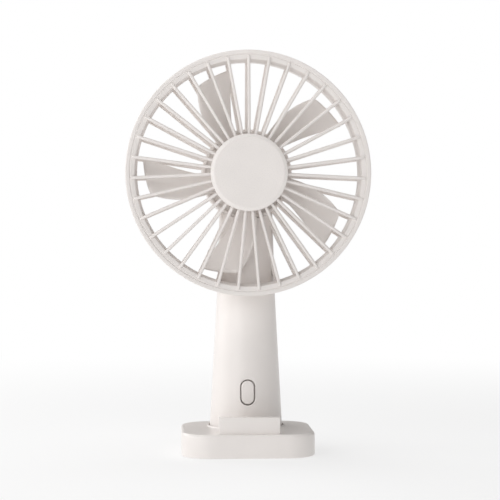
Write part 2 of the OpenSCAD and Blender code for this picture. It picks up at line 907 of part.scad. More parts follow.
module stand_bottom_plate() {
    color(shell_white) difference() {
        stand_slab(skin + 0.1, stand_bottom - 0.1, plate_t + 0.1);
        for (p = foot_at)
            translate([p[0], p[1], 0]) cylinder(r = foot_pad_r, h = foot_pad_h);
        for (p = stand_screw_at)
            translate([p[0], p[1], 0]) {
                cylinder(r = screw_r, h = 5);
                cylinder(r = head_r + 0.1, h = stand_bottom + 0.5);
            }
    }
}

module stand_screws() {
    color(steel) for (p = stand_screw_at)
        translate([p[0], p[1], stand_bottom + 0.5]) rotate([180, 0, 0]) difference() {
            union() {
                translate([0, 0, -6]) cylinder(r = screw_r, h = 6 + eps);
                cylinder(r = head_r, h = 0.6);
            }
            cross_slot(0.8);
        }
}

module stand_feet() {
    color(rubber_grey) for (p = foot_at)
        translate([p[0], p[1], 0]) cylinder(r = foot_pad_r, h = foot_pad_h);
}

front_guard();
hub_cap();
impeller();
rear_guard();
motor_screws();
motor_can();
motor_magnets();
motor_end_cap();
motor_terminals();
front_bush();
rear_bush();
motor_shaft();
armature_core();
armature_windings();
commutator();
handle_front_shell();
handle_rear_shell();
foot_cap();
case_screws();
power_button();
switch_body();
switch_plunger();
circuit_board();
board_parts();
port_shell();
port_tongue();
battery_cell();
battery_tabs();
battery_leads();
motor_leads();
stand_body();
stand_bottom_plate();
stand_screws();
stand_feet();
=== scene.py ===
import math

import bmesh
import bpy
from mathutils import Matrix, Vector


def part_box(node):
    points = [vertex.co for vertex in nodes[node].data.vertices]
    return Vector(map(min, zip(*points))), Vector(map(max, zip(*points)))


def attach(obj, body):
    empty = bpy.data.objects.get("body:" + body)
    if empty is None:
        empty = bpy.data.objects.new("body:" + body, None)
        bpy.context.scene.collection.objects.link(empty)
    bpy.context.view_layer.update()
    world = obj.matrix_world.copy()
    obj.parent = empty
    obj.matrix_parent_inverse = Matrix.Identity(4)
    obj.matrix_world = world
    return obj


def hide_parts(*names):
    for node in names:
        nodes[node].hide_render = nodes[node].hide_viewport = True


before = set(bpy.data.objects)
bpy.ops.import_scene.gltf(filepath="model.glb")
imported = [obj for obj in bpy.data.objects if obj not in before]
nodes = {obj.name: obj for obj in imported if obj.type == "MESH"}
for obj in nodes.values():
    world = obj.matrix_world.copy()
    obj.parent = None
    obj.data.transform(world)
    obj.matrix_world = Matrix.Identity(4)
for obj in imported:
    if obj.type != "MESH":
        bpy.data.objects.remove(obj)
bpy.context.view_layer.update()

MM = 0.001


# ---------------------------------------------------------------- where things are, in mm

def box(name):
    """Lowest and highest corner of a CAD node, in mm."""
    low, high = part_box(name)
    return low / MM, high / MM


cap_low, cap_high = box("hub_cap")
guard_low, guard_high = box("front_guard")
shell_low, shell_high = box("handle_front_shell")
stand_low, stand_high = box("stand_body")
button_low, button_high = box("power_button")
port_low, port_high = box("port_shell")
feet_top = box("stand_feet")[1].z

# the head; names with FRONT, BACK or FACE and names that end in _F are places along the fan's axis,
# counted forwards
AXIS_Z = (cap_low.z + cap_high.z) / 2
GUARD_R = guard_high.x
CAP_R = cap_high.x
CAP_FRONT = -cap_low.y
HUB_FACE = -guard_low.y
JOINT_GAP = 0.05
JOINT_F = -(guard_high.y - JOINT_GAP)
RIM_FRONT = 17.0
THROAT_FRONT = 13.6
GUARD_BACK = -2.2
SPOKES = 35

# the handle and the motor cup on top of it
HANDLE_Y = shell_high.y
FOOT_Z = shell_low.z
FOOT_R = shell_high.x
WAIST_Z, WAIST_R = 72.0, 13.4
NECK_Z, NECK_R = 112.0, 12.2
NECK_FRONT = 5.0
WALL = 1.8
CUP_R = 20.6
CUP_BACK = -20.5

# cutters reach this far out
FAR = 40


# ---------------------------------------------------------------- mesh helpers

TOO_SHORT = 1e-6
WELD_DISTANCE = 1e-6
FILLET_SHARE = 0.49


def turned(point):
    """A point given as (across, up, forward) of the fan's axis, in the row frame."""
    across, up, forward = point
    return (across, -forward, AXIS_Z + up)


def filleted(corners, steps=5):
    """A closed outline from (x, y, radius) corners, with an arc at each corner that has a radius."""
    out = []
    n = len(corners)
    for i, (x, y, radius) in enumerate(corners):
        here = Vector((x, y))
        before = Vector(corners[i - 1][:2]) - here
        after = Vector(corners[(i + 1) % n][:2]) - here
        if radius <= 0 or before.length < TOO_SHORT or after.length < TOO_SHORT:
            out.append((x, y))
            continue
        a, b = before.normalized(), after.normalized()
        angle = a.angle(b)
        reach = radius / math.tan(angle / 2)
        reach = min(reach, before.length * FILLET_SHARE, after.length * FILLET_SHARE)
        radius = reach * math.tan(angle / 2)
        centre = here + (a + b).normalized() * (radius / math.sin(angle / 2))
        start, end = here + a * reach - centre, here + b * reach - centre
        first_angle = math.atan2(start.y, start.x)
        turn = math.atan2(end.y, end.x) - first_angle
        turn = (turn + math.pi) % (2 * math.pi) - math.pi
        for k in range(steps + 1):
            t = first_angle + turn * k / steps
            out.append((centre.x + radius * math.cos(t), centre.y + radius * math.sin(t)))
    return out


def to_object(name, verts, faces):
    """A new mesh object from points in mm."""
    mesh = bpy.data.meshes.new(name)
    mesh.from_pydata([tuple(c * MM for c in v) for v in verts], [], faces)
    bm = bmesh.new()
    bm.from_mesh(mesh)
    bmesh.ops.recalc_face_normals(bm, faces=bm.faces)
    bm.to_mesh(mesh)
    bm.free()
    obj = bpy.data.objects.new(name, mesh)
    bpy.context.scene.collection.objects.link(obj)
    return obj


def loft(name, rings, close_ends=True, closed=False):
    """Joins rings of equal length into a skin. closed joins the last ring to the first."""
    n = len(rings[0])
    verts = [p for ring in rings for p in ring]
    faces = []
    last = len(rings) if closed else len(rings) - 1
    for i in range(last):
        a, b = i * n, ((i + 1) % len(rings)) * n
        faces += [(a + k, a + (k + 1) % n, b + (k + 1) % n, b + k) for k in range(n)]
    if close_ends and not closed:
        faces.append(tuple(range(n)))
        faces.append(tuple((len(rings) - 1) * n + k for k in range(n)))
    return to_object(name, verts, faces)


def weld(obj):
    """Merges points that coincide and drops the faces that have no area left."""
    bm = bmesh.new()
    bm.from_mesh(obj.data)
    bmesh.ops.remove_doubles(bm, verts=bm.verts, dist=WELD_DISTANCE)
    bmesh.ops.dissolve_degenerate(bm, edges=bm.edges, dist=WELD_DISTANCE)
    bmesh.ops.recalc_face_normals(bm, faces=bm.faces)
    bm.to_mesh(obj.data)
    bm.free()


def lathe(name, outline, steps, place):
    """A closed outline of (radius, along) points turned round an axis. Points on the axis are welded."""
    rings = []
    for i in range(steps):
        a = 2 * math.pi * i / steps
        rings.append([place(r * math.sin(a), r * math.cos(a), along) for r, along in outline])
    obj = loft(name, rings, closed=True)
    weld(obj)
    return obj


def on_axis(across, up, along):
    """Places a point of a lathe on the fan's axis."""
    return turned((across, up, along))


def about_handle(across, forward, z):
    """Places a point of a lathe on the handle's axis."""
    return (across, HANDLE_Y - forward, z)


def facing(z):
    """Places an outline upright, facing the front, round height z. The third number is y."""
    return lambda x, up, y: (x, y, z + up)


def prism(name, outline, low, high, place):
    """A straight prism of an outline between two distances."""
    return loft(name, [[place(x, y, d) for x, y in outline] for d in (low, high)])


def block(name, low, high):
    """A box between two corners."""
    (x0, y0, z0), (x1, y1, z1) = low, high
    return loft(name, [[(x0, y0, z), (x1, y0, z), (x1, y1, z), (x0, y1, z)] for z in (z0, z1)])


def axis_disc(name, radius, low, high, steps=192):
    """A disc on the fan's axis between two places along it."""
    return lathe(name, [(0, low), (0, high), (radius, high), (radius, low)], steps, on_axis)


def y_disc(name, radius, x, z, y0, y1, steps=48):
    """A disc round (x, z) between two places along Y."""
    circle = [(radius * math.cos(2 * math.pi * i / steps), radius * math.sin(2 * math.pi * i / steps))
              for i in range(steps)]
    return loft(name, [[(x + a, y, z + b) for a, b in circle] for y in (y0, y1)])


def apply_modifiers(obj):
    """Replaces a mesh by what its modifiers make of it."""
    graph = bpy.context.evaluated_depsgraph_get()
    graph.update()
    mesh = bpy.data.meshes.new_from_object(obj.evaluated_get(graph))
    obj.modifiers.clear()
    old = obj.data
    obj.data = mesh
    bpy.data.meshes.remove(old)
    mesh.name = obj.name


def combine(target, cutter, operation):
    """Applies a boolean to target and removes the cutter."""
    change = target.modifiers.new("combine", "BOOLEAN")
    change.operation = operation
    change.object = cutter
    change.solver = "MANIFOLD"
    bpy.context.view_layer.update()
    apply_modifiers(target)
    bpy.data.objects.remove(cutter)
    return target


def squared(obj):
    """Turns the triangles a boolean leaves back into quads, so that curved faces shade evenly."""
    bm = bmesh.new()
    bm.from_mesh(obj.data)
    bmesh.ops.join_triangles(bm, faces=bm.faces, angle_face_threshold=math.radians(12),
                             angle_shape_threshold=math.radians(60))
    bm.to_mesh(obj.data)
    bm.free()
    return obj


def joined(name, parts):
    """Several meshes as one, side by side."""
    bm = bmesh.new()
    for part in parts:
        bm.from_mesh(part.data)
        bpy.data.objects.remove(part)
    mesh = bpy.data.meshes.new(name)
    bm.to_mesh(mesh)
    bm.free()
    obj = bpy.data.objects.new(name, mesh)
    bpy.context.scene.collection.objects.link(obj)
    return obj


def soften(obj, width, angle=32, segments=2):
    """Rounds the edges of a mesh that are sharper than an angle in degrees."""
    bevel = obj.modifiers.new("edges", "BEVEL")
    bevel.width = width * MM
    bevel.segments = segments
    bevel.limit_method = "ANGLE"
    bevel.angle_limit = math.radians(angle)
    bevel.use_clamp_overlap = True
    bevel.miter_outer = "MITER_ARC"
    bpy.context.view_layer.update()
    apply_modifiers(obj)


def smooth(obj, angle):
    """Shades a mesh smooth except at edges sharper than an angle in degrees."""
    mesh = obj.data
    mesh.polygons.foreach_set("use_smooth", [True] * len(mesh.polygons))
    mesh.set_sharp_from_angle(angle=math.radians(angle))
    mesh.update()


def piece(obj, body, material, replaced=(), angle=35):
    """Puts a finished piece on its body with its material."""
    smooth(obj, angle)
    obj.data.materials.clear()
    obj.data.materials.append(material)
    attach(obj, body)
    if replaced:
        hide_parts(*replaced)
    return obj


# ---------------------------------------------------------------- materials

PATCHES = 60.0
BUMP_STRENGTH = 0.35


def surface(name, low, high, rough, grain, depth, metallic=0.0):
    """Moulded or plated surface. Its colour drifts between low and high and its roughness between
    the two values of rough. A fine grain stands out by depth in mm."""
    material = bpy.data.materials.new(name)
    material.use_nodes = True
    tree = material.node_tree
    shader = next(n for n in tree.nodes if n.type == "BSDF_PRINCIPLED")
    make, link = tree.nodes.new, tree.links.new
    where = make("ShaderNodeTexCoord")

    broad = make("ShaderNodeTexNoise")
    broad.inputs["Scale"].default_value = PATCHES
    broad.inputs["Detail"].default_value = 4.0
    link(where.outputs["Object"], broad.inputs["Vector"])
    tint = make("ShaderNodeValToRGB")
    tint.color_ramp.elements[0].position = 0.3
    tint.color_ramp.elements[0].color = (*low, 1)
    tint.color_ramp.elements[1].position = 0.7
    tint.color_ramp.elements[1].color = (*high, 1)
    link(broad.outputs["Fac"], tint.inputs["Fac"])
    link(tint.outputs["Color"], shader.inputs["Base Color"])

    fine = make("ShaderNodeTexNoise")
    fine.inputs["Scale"].default_value = grain
    fine.inputs["Detail"].default_value = 3.0
    fine.inputs["Roughness"].default_value = 0.6
    link(where.outputs["Object"], fine.inputs["Vector"])
    spread = make("ShaderNodeMapRange")
    spread.inputs["From Min"].default_value = 0.3
    spread.inputs["From Max"].default_value = 0.7
    spread.inputs["To Min"].default_value = rough[0]
    spread.inputs["To Max"].default_value = rough[1]
    link(fine.outputs["Fac"], spread.inputs["Value"])
    link(spread.outputs["Result"], shader.inputs["Roughness"])
    bump = make("ShaderNodeBump")
    bump.inputs["Strength"].default_value = BUMP_STRENGTH
    bump.inputs["Distance"].default_value = depth * MM
    link(fine.outputs["Fac"], bump.inputs["Height"])
    link(bump.outputs["Normal"], shader.inputs["Normal"])

    shader.inputs["Metallic"].default_value = metallic
    return material


def warm(level):
    """A light grey that leans to pink, as the moulded parts do."""
    return (level * (1 + 0.055), level, level * (1 - 0.035))


def plain(level):
    """A neutral grey."""
    return (level, level, level)


SHELL = surface("shell_plastic", warm(0.81), warm(0.84), (0.28, 0.38), 2200, 0.003)
FRONT = surface("front_guard_plastic", warm(0.76), warm(0.79), (0.28, 0.38), 2200, 0.003)
# painted light: the rear guard and its motor cup are the same plastic as the front guard, drawn lighter to
# stand in for the light that the front grille shades off them
REAR_PAINTED_LIGHT = surface("rear_guard_plastic_painted_light", warm(0.86), warm(0.89), (0.30, 0.40), 2200, 0.003)
BLADES = surface("blade_plastic", warm(0.78), warm(0.81), (0.30, 0.40), 1800, 0.002)
BUTTON = surface("button_plastic", warm(0.80), warm(0.84), (0.36, 0.46), 2600, 0.002)
CAP = surface("cap_plastic", warm(0.78), warm(0.82), (0.25, 0.33), 2200, 0.002)
STEEL = surface("plated_steel", plain(0.55), plain(0.64), (0.25, 0.38), 900, 0.01, metallic=1.0)
IRON = surface("dark_laminations", plain(0.10), plain(0.16), (0.45, 0.6), 1500, 0.01, metallic=0.8)
BRONZE = surface("bronze", (0.62, 0.42, 0.18), (0.72, 0.52, 0.26), (0.3, 0.45), 1200, 0.01,
                 metallic=1.0)
COPPER = surface("enamelled_copper", (0.55, 0.22, 0.08), (0.68, 0.32, 0.14), (0.25, 0.4), 1600, 0.02,
                 metallic=1.0)
BLACK = surface("black_plastic", plain(0.02), plain(0.035), (0.4, 0.55), 2400, 0.01)
BOARD = surface("solder_mask", (0.012, 0.09, 0.035), (0.02, 0.13, 0.05), (0.3, 0.42), 700, 0.01)
CELL = surface("cell_sleeve", (0.03, 0.09, 0.24), (0.04, 0.12, 0.30), (0.25, 0.35), 1400, 0.01)
LEADS = surface("lead_sheath", (0.35, 0.02, 0.015), (0.42, 0.035, 0.02), (0.4, 0.5), 2200, 0.01)
RUBBER = surface("grey_rubber", plain(0.10), plain(0.14), (0.6, 0.75), 1900, 0.03)

CAD_MATERIALS = {
    STEEL: ["motor_can", "motor_shaft", "motor_screws", "case_screws", "stand_screws", "port_shell",
            "battery_tabs"],
    IRON: ["motor_magnets", "armature_core"],
    BRONZE: ["front_bush", "rear_bush", "motor_terminals"],
    COPPER: ["armature_windings", "commutator"],
    BLACK: ["motor_end_cap", "switch_body", "port_tongue", "board_parts"],
    BOARD: ["circuit_board"],
    CELL: ["battery_cell"],
    LEADS: ["battery_leads", "motor_leads"],
    BUTTON: ["switch_plunger"],
    SHELL: ["foot_cap", "stand_bottom_plate"],
}
for material, names in CAD_MATERIALS.items():
    for name in names:
        slots = nodes[name].data.materials
        slots.clear()
        slots.append(material)


# ---------------------------------------------------------------- guards

RING_STEPS = SPOKES * 8
SPOKE_W = 1.45
SPOKE_D = 2.2
SPOKE_END = GUARD_R - 2.3
SPOKE_TIP = 1.1
TIP_NARROWING = 0.72
BACK_ROUNDING = 0.12
FRONT_STATIONS, REAR_STATIONS = 14, 10

# both grilles are shallow domes, fitted to the ring at this radius
DOME_R = GUARD_R - 4
DOME = (HUB_FACE - RIM_FRONT - 0.6) / DOME_R ** 2
REAR_HUB, REAR_RING = -2.4, 0.2
REAR_DOME = (REAR_RING - REAR_HUB) / DOME_R ** 2

# the ring's section: names with IN and OUT are distances inwards from its outside
RIM_EDGE = 0.5
RIM_IN = 1.75
GROOVE_IN, GROOVE_DEEP = 2.05, 0.45
BAND_OUT, BAND_HIGH = 2.4, 0.2
BAND_IN, BAND_LOW = 4.2, 0.5
THROAT_IN = 5.3
CHANNEL_IN, CHANNEL_OUT, CHANNEL_END = 3.1, 1.7, RIM_FRONT - 3.4
TONGUE_IN, TONGUE_OUT, TONGUE_LONG = 2.95, 1.8, 4
BACK_IN, BACK_EDGE = 2.8, 1.5
REAR_FLOOR = GUARD_BACK + 1.8


def spoke(name, angle, stations, rounding):
    """A rounded bar that runs out from the hub along (radius, front face, share of the width) stations."""
    section = filleted([(-0.5, 0, rounding), (0.5, 0, rounding),
                        (0.5, -1, BACK_ROUNDING), (-0.5, -1, BACK_ROUNDING)], 3)
    sin_a, cos_a = math.sin(angle), math.cos(angle)
    rings = []
    for radius, front, share in stations:
        ring = []
        for across, down in section:
            side = across * SPOKE_W * share
            ring.append(turned((radius * sin_a + side * cos_a, radius * cos_a - side * sin_a,
                                front + down * SPOKE_D)))
        rings.append(ring)
    return loft(name, rings)


def spokes(name, stations, rounding):
    """All the spokes of one guard."""
    return joined(name, [spoke("spoke", 2 * math.pi * i / SPOKES, stations, rounding)
                         for i in range(SPOKES)])


def dome_front(radius):
    """Where the faces of the front spokes are at a radius."""
    return HUB_FACE - DOME * radius * radius


front_outline = filleted([
    (GUARD_R - CHANNEL_OUT, JOINT_F, 0), (GUARD_R, JOINT_F, 0.2), (GUARD_R, RIM_FRONT, RIM_EDGE),
    (GUARD_R - RIM_IN, RIM_FRONT, 0.25), (GUARD_R - GROOVE_IN, RIM_FRONT - GROOVE_DEEP, 0.15),
    (GUARD_R - BAND_OUT, RIM_FRONT - BAND_HIGH, 0.3), (GUARD_R - BAND_IN, RIM_FRONT - BAND_LOW, 0.3),
    (GUARD_R - THROAT_IN, THROAT_FRONT, 0.3), (GUARD_R - THROAT_IN, THROAT_FRONT - 1, 0.4),
    (GUARD_R - BAND_IN, JOINT_F, 0), (GUARD_R - CHANNEL_IN, JOINT_F, 0),
    (GUARD_R - CHANNEL_IN, CHANNEL_END, 0), (GUARD_R - CHANNEL_OUT, CHANNEL_END, 0)])
front_ring = lathe("front_guard_ring", front_outline, RING_STEPS, on_axis)

disc_r, disc_back, disc_front = CAP_R - 1.0, HUB_FACE - 2.4, HUB_FACE - 0.02
hub_outline = filleted([(0, disc_back, 0), (0, disc_front, 0), (disc_r, disc_front, 0.3),
                        (disc_r, disc_back, 0.3)])
front_hub = lathe("front_hub", hub_outline, RING_STEPS, on_axis)

# the front spokes curl back at their tips
stations = []
inner, outer = CAP_R - 2.5, SPOKE_END - SPOKE_TIP
for k in range(FRONT_STATIONS + 1):
    r = inner + (outer - inner) * k / FRONT_STATIONS
    stations.append((r, dome_front(r), 1.0))
for a in (20, 40, 60, 80):
    t = math.radians(a)
    stations.append((outer + SPOKE_TIP * math.sin(t), dome_front(outer) - SPOKE_TIP * (1 - math.cos(t)),
                     math.sqrt(1 - (TIP_NARROWING * math.sin(t)) ** 2)))
front_spokes = spokes("front_spokes", stations, 0.38)
front_guard = joined("front_guard_grille", [front_ring, front_spokes, front_hub])
piece(front_guard, "fan", FRONT, ["front_guard"])

cap_outline = filleted([(0, HUB_FACE, 0), (0, CAP_FRONT, 0), (CAP_R - 1.6, CAP_FRONT, 1.2),
                        (CAP_R, CAP_FRONT - 0.7, 0.6), (CAP_R, HUB_FACE, 0.2)], 7)
hub_cap = lathe("hub_cap_disc", cap_outline, 192, on_axis)
piece(hub_cap, "fan", CAP, ["hub_cap"])

back_f = JOINT_F - 2 * JOINT_GAP
rear_outline = filleted([
    (GUARD_R - BAND_IN, back_f, 0.15), (GUARD_R - CHANNEL_IN, back_f, 0),
    (GUARD_R - CHANNEL_IN, REAR_FLOOR, 0), (GUARD_R - CHANNEL_OUT, REAR_FLOOR, 0),
    (GUARD_R - CHANNEL_OUT, back_f - 2.5, 0), (GUARD_R - TONGUE_IN, back_f - 1.5, 0),
    (GUARD_R - TONGUE_IN, back_f + TONGUE_LONG, 0.2), (GUARD_R - TONGUE_OUT, back_f + TONGUE_LONG, 0.2),
    (GUARD_R - TONGUE_OUT, back_f, 0), (GUARD_R, back_f, 0.2), (GUARD_R, GUARD_BACK, BACK_EDGE),
    (GUARD_R - BACK_IN, GUARD_BACK, 0.4), (GUARD_R - BAND_IN, REAR_FLOOR, 0.5)])
rear_ring = lathe("rear_guard_ring", rear_outline, RING_STEPS, on_axis)

stations = []
inner, outer = CUP_R - 0.9, GUARD_R - 3.4
for k in range(REAR_STATIONS + 1):
    r = inner + (outer - inner) * k / REAR_STATIONS
    stations.append((r, REAR_HUB + REAR_DOME * r * r, 1.0))
rear_spokes = spokes("rear_spokes", stations, 0.3)

COLUMN_RINGS = 24
COLUMN_STEPS = 160
WAIST_BLEND = 9.0


def straight_radius(z):
    """The handle's radius at a height, as two straight tapers that meet at the waist."""
    if z < WAIST_Z:
        return FOOT_R + (WAIST_R - FOOT_R) * (z - FOOT_Z) / (WAIST_Z - FOOT_Z)
    return WAIST_R + (NECK_R - WAIST_R) * (z - WAIST_Z) / (NECK_Z - WAIST_Z)


def column_outline(grow, z_low, z_high):
    """The handle's outside as (radius, z) points from bottom to top. Its tapers meet in a gentle curve."""
    slope_low = (WAIST_R - FOOT_R) / (WAIST_Z - FOOT_Z)
    slope_high = (NECK_R - WAIST_R) / (NECK_Z - WAIST_Z)
    even = {z_low + (z_high - z_low) * i / COLUMN_RINGS for i in range(COLUMN_RINGS + 1)}
    out = []
    for z in sorted({z_low, z_high} | even):
        radius = straight_radius(z)
        if abs(z - WAIST_Z) < WAIST_BLEND:
            t = (z - WAIST_Z + WAIST_BLEND) / (2 * WAIST_BLEND)
            rise = slope_low * t + (slope_high - slope_low) * t * t / 2
            radius = straight_radius(WAIST_Z - WAIST_BLEND) + 2 * WAIST_BLEND * rise
        out.append((radius + grow, z))
    return out


def column(name, grow, z_low, z_high):
    """The handle as a solid, grown by a distance."""
    outline = [(0, z_low)] + column_outline(grow, z_low, z_high) + [(0, z_high)]
    return lathe(name, outline, COLUMN_STEPS, about_handle)


def head_room(grow, front):
    """What the guards take up, grown by a distance, forwards from a place along the axis."""
    return axis_disc("cut", GUARD_R + grow, front, FAR, RING_STEPS)


def neck_cutter():
    """The part of the neck behind the guards' space."""
    return combine(column("neck", 0.02, 60, NECK_Z), head_room(0.05, NECK_FRONT), "DIFFERENCE")


rear_ring = squared(combine(rear_ring, neck_cutter(), "DIFFERENCE"))
rear_spokes = squared(combine(rear_spokes, neck_cutter(), "DIFFERENCE"))

CUP_RIM, CUP_FLOOR, CUP_UNDERSIDE = 1.8, -0.1, -1.9
CUP_RIM_R = CUP_R - 1.6
NOSE_HOLE_R = 3.2
cup_outline = filleted([
    (CUP_R, -HANDLE_Y, 0), (CUP_R, CUP_RIM, 0.5), (CUP_RIM_R, CUP_RIM, 0.5), (CUP_RIM_R, CUP_FLOOR, 0.3),
    (NOSE_HOLE_R, CUP_FLOOR, 0.1), (NOSE_HOLE_R, CUP_UNDERSIDE, 0.1),
    (CUP_R - WALL, CUP_UNDERSIDE, 0.2), (CUP_R - WALL, -HANDLE_Y, 0)], 4)
cup = lathe("motor_cup", cup_outline, 210, on_axis)
rear_guard = joined("rear_guard_grille", [rear_ring, rear_spokes, cup])
# the rear guard and cup get the lighter copy of the guard plastic, which is painted light standing in for
# the light the front grille blocks
piece(rear_guard, "fan", REAR_PAINTED_LIGHT, ["rear_guard"])


# ---------------------------------------------------------------- impeller

HUB_R = 14.5
HUB_WALL = 1.5
HUB_FRONT, HUB_BACK = 17.2, 3.0
HUB_INSIDE = HUB_FRONT - 1.8
BOSS_R, BOSS_BACK = 3, HUB_BACK + 3
SHAFT_R, SHAFT_FRONT = 1.0, 15.5
hub_outline = filleted([
    (SHAFT_R, BOSS_BACK, 0), (SHAFT_R, SHAFT_FRONT, 0), (0, SHAFT_FRONT, 0), (0, HUB_FRONT, 0),
    (HUB_R, HUB_FRONT, 1.5), (HUB_R, HUB_BACK, 0.3), (HUB_R - HUB_WALL, HUB_BACK, 0.3),
    (HUB_R - HUB_WALL, HUB_INSIDE, 0.8), (BOSS_R, HUB_INSIDE, 0.3), (BOSS_R, BOSS_BACK, 0.2)], 5)
wheel = lathe("impeller_hub", hub_outline, 160, on_axis)

BLADE_COUNT = 5
BLADE_ROWS, BLADE_COLS = 26, 26
TIP_R, TIP_DROP, BLADE_T = 48.0, 3.0, 1.6
ROOT_R = HUB_R - 0.9
SWEEP_R = 14
LEAD_F, TRAIL_ROOT_F, TRAIL_TIP_F, CAMBER = 6.2, 16.0, 14.6, 0.9
# the outer corners at the trailing and leading edges: share of the chord, then depth in mm
TRAIL_CORNER, LEAD_CORNER = (0.10, 1.6), (0.05, 0.7)
# the sheet thins over these shares of its chord and span, down to this share of its thickness
EDGE_SHARE, TIP_SHARE, THINNEST = 0.08, 0.04, 0.12
SLOPE_STEP = 0.004


def trail_angle(r):
    """Where the trailing edge is at a radius, in degrees round the axis."""
    return 24 + 0.292 * (r - SWEEP_R) + 0.0087 * (r - SWEEP_R) ** 2


def lead_angle(r):
    """Where the leading edge is at a radius, in degrees round the axis."""
    return 49.5 + 0.562 * (r - SWEEP_R) - 0.0048 * (r - SWEEP_R) ** 2


def quarter_arc(x):
    """Rises from 0 at 0 along a quarter circle to 1 at 1, and stays at 1."""
    return math.sqrt(max(0.0, 1 - max(0.0, 1 - x) ** 2))


def tip_radius(s):
    """The blade's outer edge with rounded corners. s goes from the trailing to the leading edge."""
    corner = 0.0
    for distance, (size, depth) in ((s, TRAIL_CORNER), (1 - s, LEAD_CORNER)):
        corner += (1 - quarter_arc(distance / size)) * depth
    return TIP_R - TIP_DROP * (1 - s) - corner


def blade_point(u, s):
    """The middle of the sheet. u goes from root to tip, s from the trailing to the leading edge."""
    tip = tip_radius(s)
    r = ROOT_R + (tip - ROOT_R) * u
    a = math.radians(trail_angle(r) + (lead_angle(r) - trail_angle(r)) * s)
    trail = TRAIL_ROOT_F + (TRAIL_TIP_F - TRAIL_ROOT_F) * u
    f = trail + (LEAD_F - trail) * s - CAMBER * 4 * s * (1 - s)
    return Vector((r * math.sin(a), -f, AXIS_Z + r * math.cos(a)))


def blade(name):
    """One cambered blade with thinned edges. Its rows and columns bunch up towards the edges."""
    us = [1 - (1 - i / BLADE_ROWS) ** 1.3 for i in range(BLADE_ROWS + 1)]
    ss = [0.5 - 0.5 * math.cos(math.pi * j / BLADE_COLS) for j in range(BLADE_COLS + 1)]
    d = SLOPE_STEP
    top, bottom = [], []
    for u in us:
        for s in ss:
            p = blade_point(u, s)
            along = blade_point(min(u + d, 1), s) - blade_point(max(u - d, 0), s)
            across = blade_point(u, min(s + d, 1)) - blade_point(u, max(s - d, 0))
            normal = along.cross(across).normalized()
            round_off = quarter_arc(min(s, 1 - s) / EDGE_SHARE) * quarter_arc((1 - u) / TIP_SHARE)
            half = BLADE_T * (0.3 + 0.2 * math.sin(math.pi * s))
            half *= THINNEST + (1 - THINNEST) * round_off
            top.append(tuple(p + normal * half))
            bottom.append(tuple(p - normal * half))
    w = BLADE_COLS + 1
    count = len(top)
    faces = []
    for i in range(BLADE_ROWS):
        for j in range(BLADE_COLS):
            a = i * w + j
            faces.append((a, a + 1, a + w + 1, a + w))
            faces.append((count + a, count + a + w, count + a + w + 1, count + a + 1))
    rim = [j for j in range(BLADE_COLS)] + [i * w + BLADE_COLS for i in range(BLADE_ROWS)]
    rim += [BLADE_ROWS * w + j for j in range(BLADE_COLS, 0, -1)]
    rim += [i * w for i in range(BLADE_ROWS, 0, -1)]
    for k, a in enumerate(rim):
        b = rim[(k + 1) % len(rim)]
        faces.append((a, count + a, count + b, b))
    return to_object(name, top + bottom, faces)


first = blade("blade")
wheel_parts = [wheel]
for k in range(BLADE_COUNT):
    turn = 2 * math.pi * k / BLADE_COUNT
    copy = first.copy()
    copy.data = first.data.copy()
    bpy.context.scene.collection.objects.link(copy)
    for v in copy.data.vertices:
        x, z = v.co.x, v.co.z - AXIS_Z * MM
        v.co.x = x * math.cos(turn) + z * math.sin(turn)
        v.co.z = AXIS_Z * MM + z * math.cos(turn) - x * math.sin(turn)
    wheel_parts.append(copy)
bpy.data.objects.remove(first)
wheel = joined("impeller_wheel", wheel_parts)
piece(wheel, "rotor", BLADES, ["impeller"], 40)


# ---------------------------------------------------------------- handle

# half of the seam between the two shells, and the depth and heights a cutter for one of them spans
SEAM = 0.06
HALF_DEPTH, HALF_LOW, HALF_HIGH = 60, -5, 150

BUTTON_Z = (button_low.z + button_high.z) / 2
BUTTON_W, BUTTON_H, BUTTON_GAP = 6.9, 11.9, 0.6
# the thick patch of shell round the button: half its width, half its height, and its back
PAD_X, PAD_Z, PAD_Y = 6, 9, HANDLE_Y - 12.9


def pill(width, height, steps=14):
    """Upright pill outline, centred on (0, 0)."""
    r = width / 2
    top = [(r * math.cos(math.pi * i / steps), height / 2 - r + r * math.sin(math.pi * i / steps))
           for i in range(steps + 1)]
    return top + [(-x, -y) for x, y in top]


def handle_half(name, low_y, high_y):
    """The handle as a solid between two places along Y."""
    half = block("half", (-FAR, low_y, HALF_LOW), (FAR, high_y, HALF_HIGH))
    return combine(column(name, 0, FOOT_Z, NECK_Z), half, "INTERSECT")


def handle_cavity():
    """The handle's inside."""
    return column("cavity", -WALL, FOOT_Z - 1, NECK_Z + 2)


front_shell = handle_half("handle_front", HANDLE_Y - HALF_DEPTH, HANDLE_Y - SEAM)
front_shell = combine(front_shell, head_room(0.05, NECK_FRONT), "DIFFERENCE")
front_shell = combine(front_shell, axis_disc("cut", CUP_R + 0.02, -30, 30), "DIFFERENCE")
cavity = combine(handle_cavity(), head_room(2, NECK_FRONT - WALL), "DIFFERENCE")
pad = block("pad", (-PAD_X, HANDLE_Y - 20, BUTTON_Z - PAD_Z), (PAD_X, PAD_Y, BUTTON_Z + PAD_Z))
cavity = combine(cavity, pad, "DIFFERENCE")
front_shell = combine(front_shell, cavity, "DIFFERENCE")
button_hole = prism("hole", pill(BUTTON_W, BUTTON_H), -20, 0, facing(BUTTON_Z))
front_shell = combine(front_shell, button_hole, "DIFFERENCE")
soften(front_shell, 0.22)
piece(front_shell, "fan", SHELL, ["handle_front_shell"])

